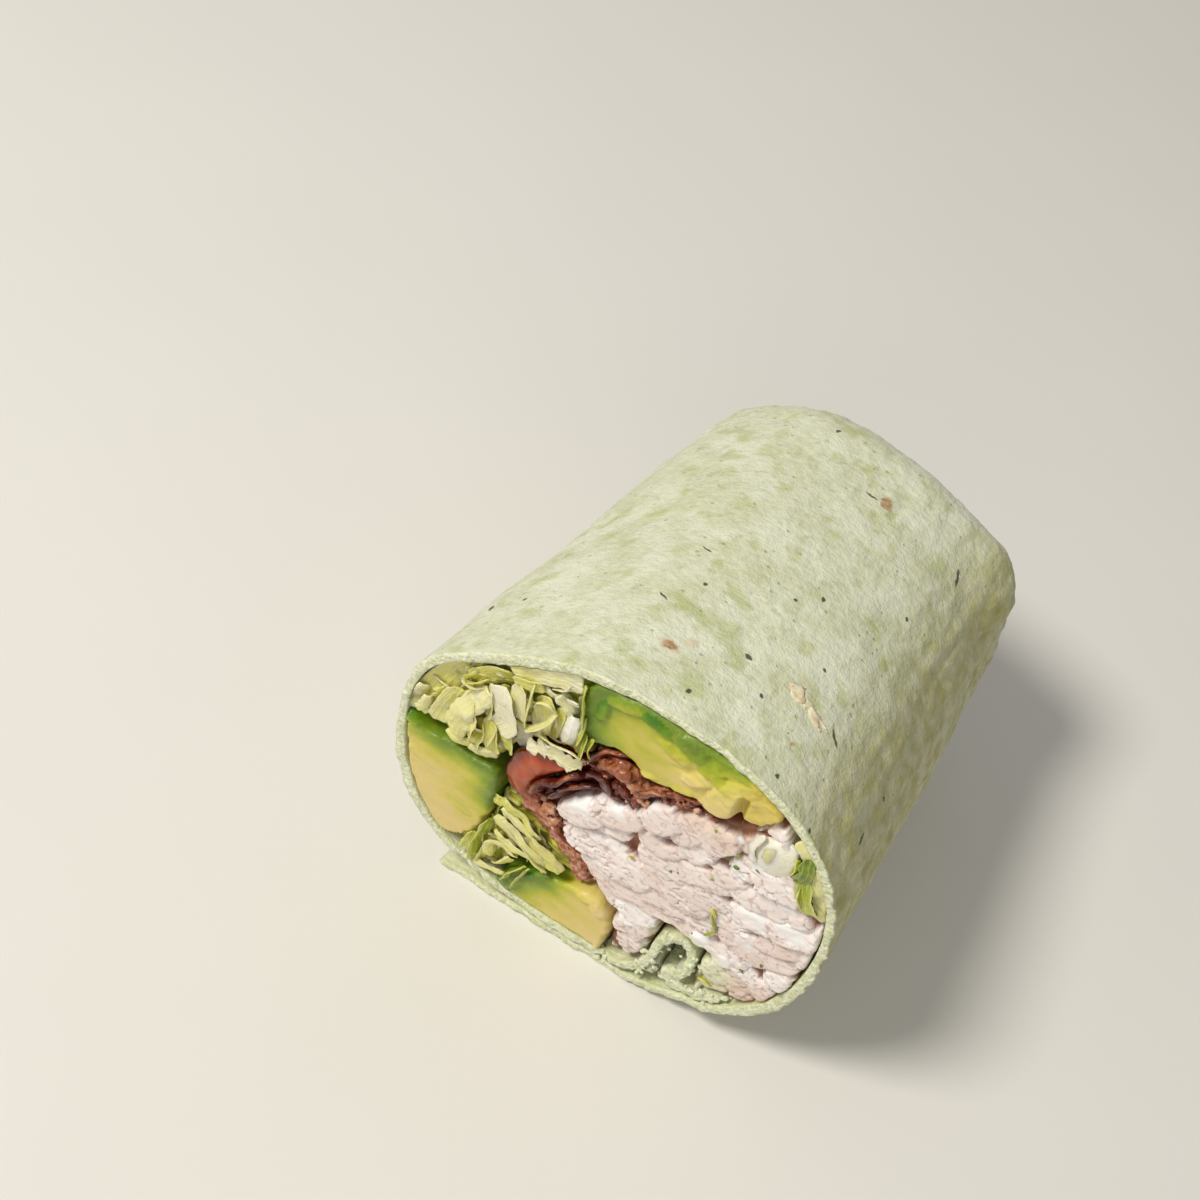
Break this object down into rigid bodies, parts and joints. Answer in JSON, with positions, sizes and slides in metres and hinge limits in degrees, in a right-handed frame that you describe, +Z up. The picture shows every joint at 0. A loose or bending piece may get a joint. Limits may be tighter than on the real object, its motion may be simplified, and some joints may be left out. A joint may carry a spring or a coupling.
{
  "type": "chicken salad wrap half",
  "caption": "Cut half of a green tortilla wrap filled with chicken salad, avocado, tomato, bacon and lettuce, lying on its side with its cut face open.",
  "frame": {"origin": "middle of the bounding box's base, on the surface that the half lies on", "axes": "+Y along the roll from the cut face to the tucked end, +X to the right of a viewer who faces the cut, +Z up"},
  "size_m": [0.08, 0.1018, 0.0782],
  "materials": {
    "tortilla": "dry, floury, soft sheen",
    "chicken_salad": "moist, creamy",
    "avocado": "oily, smooth",
    "tomato": "wet",
    "bacon": "oily",
    "lettuce": "moist, crisp"
  },
  "bodies": {
    "root": {"tortilla": "tortilla", "chicken_salad": "chicken_salad", "avocado_top": "avocado", "avocado_left": "avocado", "avocado_low": "avocado", "tomato": "tomato", "bacon_upper": "bacon", "bacon_lower": "bacon", "lettuce_top": "lettuce", "lettuce_low": "lettuce", "lettuce_right": "lettuce"}
  },
  "joints": []
}
